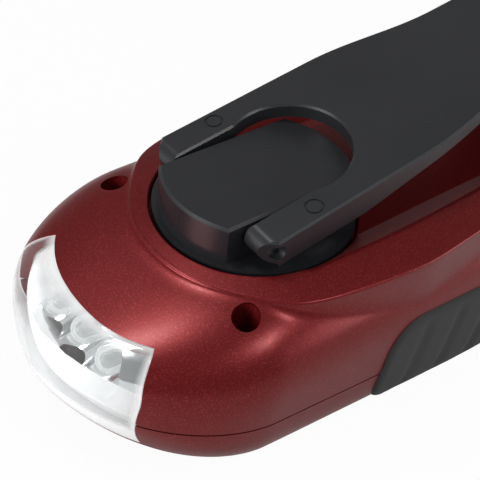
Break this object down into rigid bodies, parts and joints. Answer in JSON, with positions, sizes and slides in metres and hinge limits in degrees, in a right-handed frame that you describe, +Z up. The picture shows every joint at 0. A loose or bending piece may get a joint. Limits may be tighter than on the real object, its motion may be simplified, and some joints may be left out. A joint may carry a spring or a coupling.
{
  "type": "hand crank flashlight",
  "caption": "Dynamo flashlight in two clamshell halves with a wrap-around lens, rubber side grips and a folding crank with a turning knob that drives a generator through gears.",
  "frame": {"origin": "on the flat base, under the middle of the flashlight's length and width", "axes": "+X along the length from the lens towards the wrist-cord lug, +Y to the left of someone looking along +X, +Z up from the base; the lens faces -X and the crank axis leans 9.5 degrees from +Z towards -X"},
  "size_m": [0.135, 0.0604, 0.0707],
  "materials": {
    "metallic_red": "deep metallic red satin lacquer with fine sparkle over plastic",
    "black_plastic": "black satin moulded plastic",
    "grip_rubber": "dark soft-touch rubber",
    "clear_lens": "clear moulded lens with polished faces",
    "chrome_reflector": "bright vacuum-plated reflector",
    "lamp_clear": "clear epoxy lamp bodies",
    "board_green": "green circuit board",
    "board_black": "black moulded electronic parts",
    "zinc_steel": "zinc-plated steel",
    "magnet_grey": "sintered ring magnet",
    "copper_coil": "enamelled copper winding",
    "white_gear": "off-white self-lubricating gear plastic",
    "brass_pinion": "turned brass",
    "nickel_cell": "nickel-plated cell cans"
  },
  "bodies": {
    "housing": {"upper_shell": "metallic_red", "lower_shell": "metallic_red", "seam_lip": "black_plastic", "side_grip_right": "grip_rubber", "side_grip_left": "grip_rubber", "lens": "clear_lens", "reflector": "chrome_reflector", "lamps": "lamp_clear", "lamp_board": "board_green", "hub_bush": "white_gear", "gear_plate": "zinc_steel", "gear_axles": "zinc_steel", "plate_screws": "zinc_steel", "case_screws": "zinc_steel", "stator_can": "zinc_steel", "stator_coil": "copper_coil", "battery_cells": "nickel_cell", "battery_contacts": "zinc_steel", "control_board": "board_green", "board_parts": "board_black", "power_switch": "board_black"},
    "crank": {"crank_hub": "black_plastic", "drive_gear": "white_gear", "crank_screw": "zinc_steel", "pivot_pins": "zinc_steel"},
    "arm": {"crank_arm": "black_plastic", "knob_pin": "zinc_steel"},
    "knob": {"crank_knob": "black_plastic"},
    "first_idler": {"front_idler": "white_gear"},
    "second_idler": {"rear_idler": "white_gear"},
    "rotor": {"rotor_shaft": "zinc_steel", "rotor_pinion": "brass_pinion", "rotor_magnet": "magnet_grey"},
    "button": {"power_button": "black_plastic"}
  },
  "joints": [
    {"name": "crank_spin", "type": "hinge", "parent": "housing", "child": "crank", "pos_m": [-0.0265, 0, 0.043], "axis": [-0.165, 0, 0.9863], "continuous": true},
    {"name": "arm_fold", "type": "hinge", "parent": "crank", "child": "arm", "pos_m": [-0.03439, 0, 0.03908], "axis": [0, -1, 0], "range_deg": [0, 170.5]},
    {"name": "knob_spin", "type": "hinge", "parent": "arm", "child": "knob", "pos_m": [0.04086, 0, 0.05706], "axis": [-0.3256, 0, 0.9455], "continuous": true},
    {"name": "first_idler_spin", "type": "hinge", "parent": "housing", "child": "first_idler", "pos_m": [-0.00111, 0, 0.02454], "axis": [-0.165, 0, 0.9863], "continuous": true},
    {"name": "second_idler_spin", "type": "hinge", "parent": "housing", "child": "second_idler", "pos_m": [0.01862, 0, 0.02784], "axis": [-0.165, 0, 0.9863], "continuous": true},
    {"name": "rotor_spin", "type": "hinge", "parent": "housing", "child": "rotor", "pos_m": [0.03637, 0, 0.03081], "axis": [-0.165, 0, 0.9863], "continuous": true},
    {"name": "button_press", "type": "slide", "parent": "housing", "child": "button", "axis": [-1, 0, 0], "range_m": [0, 0.0012], "stiffness_N_per_m": 600}
  ],
  "couplings": [
    {"joint": "first_idler_spin", "follows": "crank_spin", "ratio": -4},
    {"joint": "second_idler_spin", "follows": "crank_spin", "ratio": 16},
    {"joint": "rotor_spin", "follows": "crank_spin", "ratio": -64}
  ]
}
